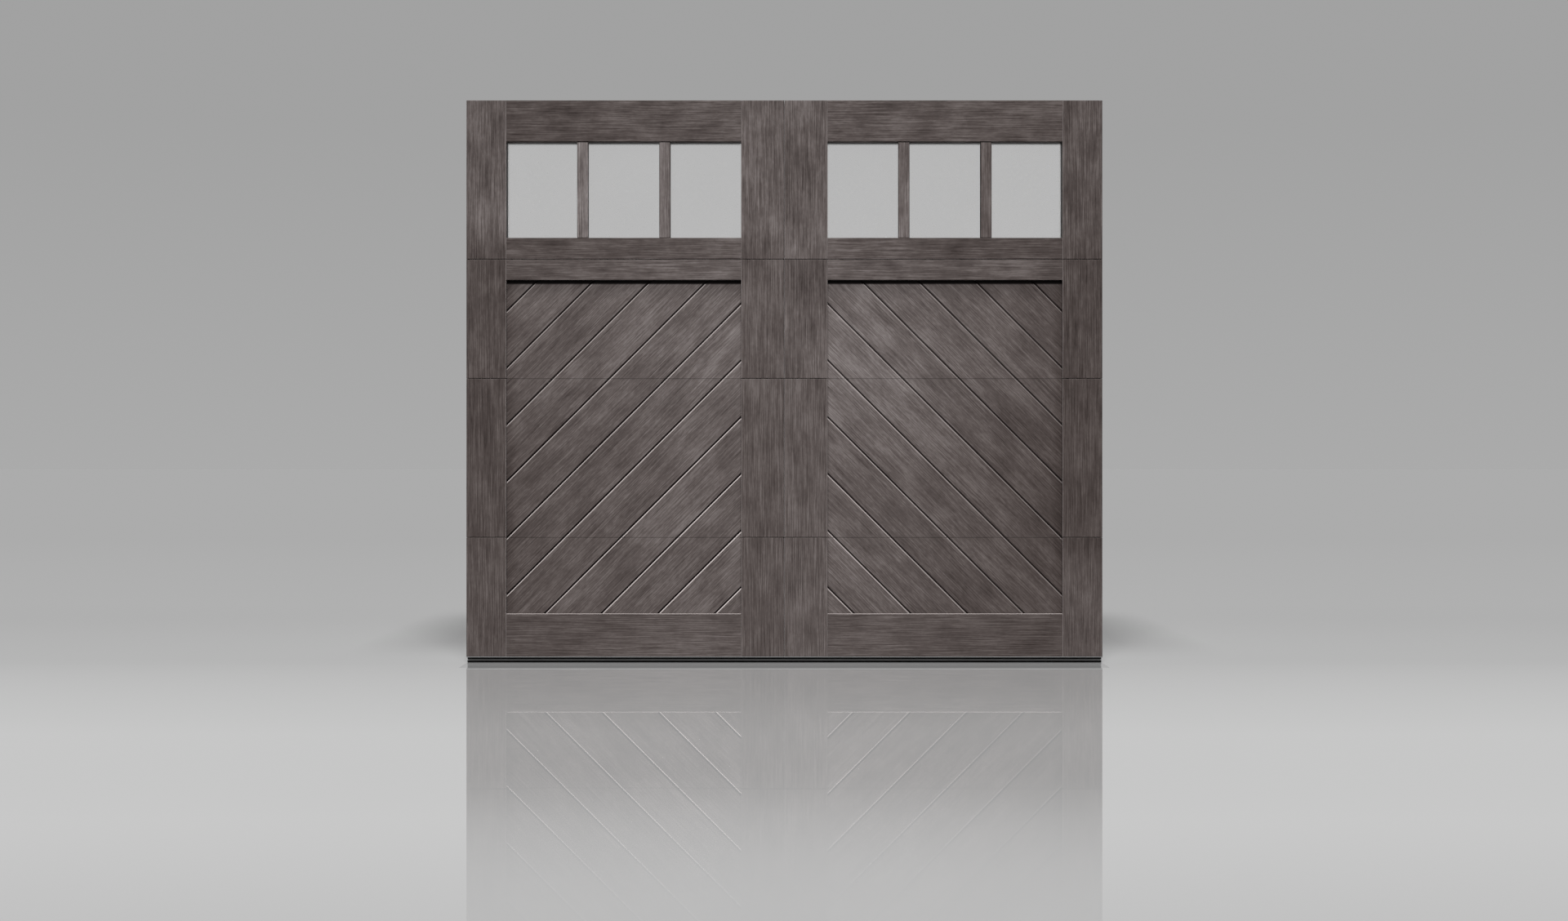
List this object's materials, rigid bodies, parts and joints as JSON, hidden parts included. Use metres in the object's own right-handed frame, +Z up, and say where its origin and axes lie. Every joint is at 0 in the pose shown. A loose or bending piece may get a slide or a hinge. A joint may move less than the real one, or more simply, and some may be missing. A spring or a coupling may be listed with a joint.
{
  "type": "sectional garage door",
  "caption": "Carriage-house overhead garage door: insulated sections with composite stiles, rails and sloping planks on the face, frosted windows on top, hinges and roller brackets behind.",
  "frame": {"origin": "on the floor, in the middle of the bottom seal's flat underside, in the sections' mid-plane", "axes": "+X across the door to the right as seen from outside, +Y to the inside of the garage, +Z up"},
  "size_m": [2.4384, 0.1053, 2.1576],
  "materials": {
    "composite_wood": "satin grey-brown stain",
    "white_steel_skin": "embossed satin white",
    "galvanised_steel": "galvanised",
    "obscure_glass": "frosted",
    "dark_frame": "matt",
    "white_frame": "satin",
    "mill_aluminium": "mill",
    "black_rubber": "matt"
  },
  "bodies": {
    "root": {"bottom_left_chevron_panel": "composite_wood", "bottom_rails": "composite_wood", "bottom_retainer": "mill_aluminium", "bottom_right_chevron_panel": "composite_wood", "bottom_roller_brackets": "galvanised_steel", "bottom_seal": "black_rubber", "bottom_section_core": "white_steel_skin", "bottom_section_end_caps": "galvanised_steel", "bottom_section_hinge_leaves": "galvanised_steel", "bottom_section_stiles": "composite_wood", "left_window_frame": "dark_frame", "left_window_glass": "obscure_glass", "left_window_inner_frame": "white_frame", "left_window_muntins": "composite_wood", "lower_left_chevron_panel": "composite_wood", "lower_right_chevron_panel": "composite_wood", "lower_section_core": "white_steel_skin", "lower_section_end_caps": "galvanised_steel", "lower_section_hinge_leaves": "galvanised_steel", "lower_section_stiles": "composite_wood", "mid_rails": "composite_wood", "right_window_frame": "dark_frame", "right_window_glass": "obscure_glass", "right_window_inner_frame": "white_frame", "right_window_muntins": "composite_wood", "sill_rails": "composite_wood", "top_rails": "composite_wood", "top_roller_brackets": "galvanised_steel", "top_section_core": "white_steel_skin", "top_section_end_caps": "galvanised_steel", "top_section_hinge_leaves": "galvanised_steel", "top_section_stiles": "composite_wood", "upper_left_chevron_panel": "composite_wood", "upper_right_chevron_panel": "composite_wood", "upper_section_core": "white_steel_skin", "upper_section_end_caps": "galvanised_steel", "upper_section_hinge_leaves": "galvanised_steel", "upper_section_stiles": "composite_wood"}
  },
  "joints": []
}
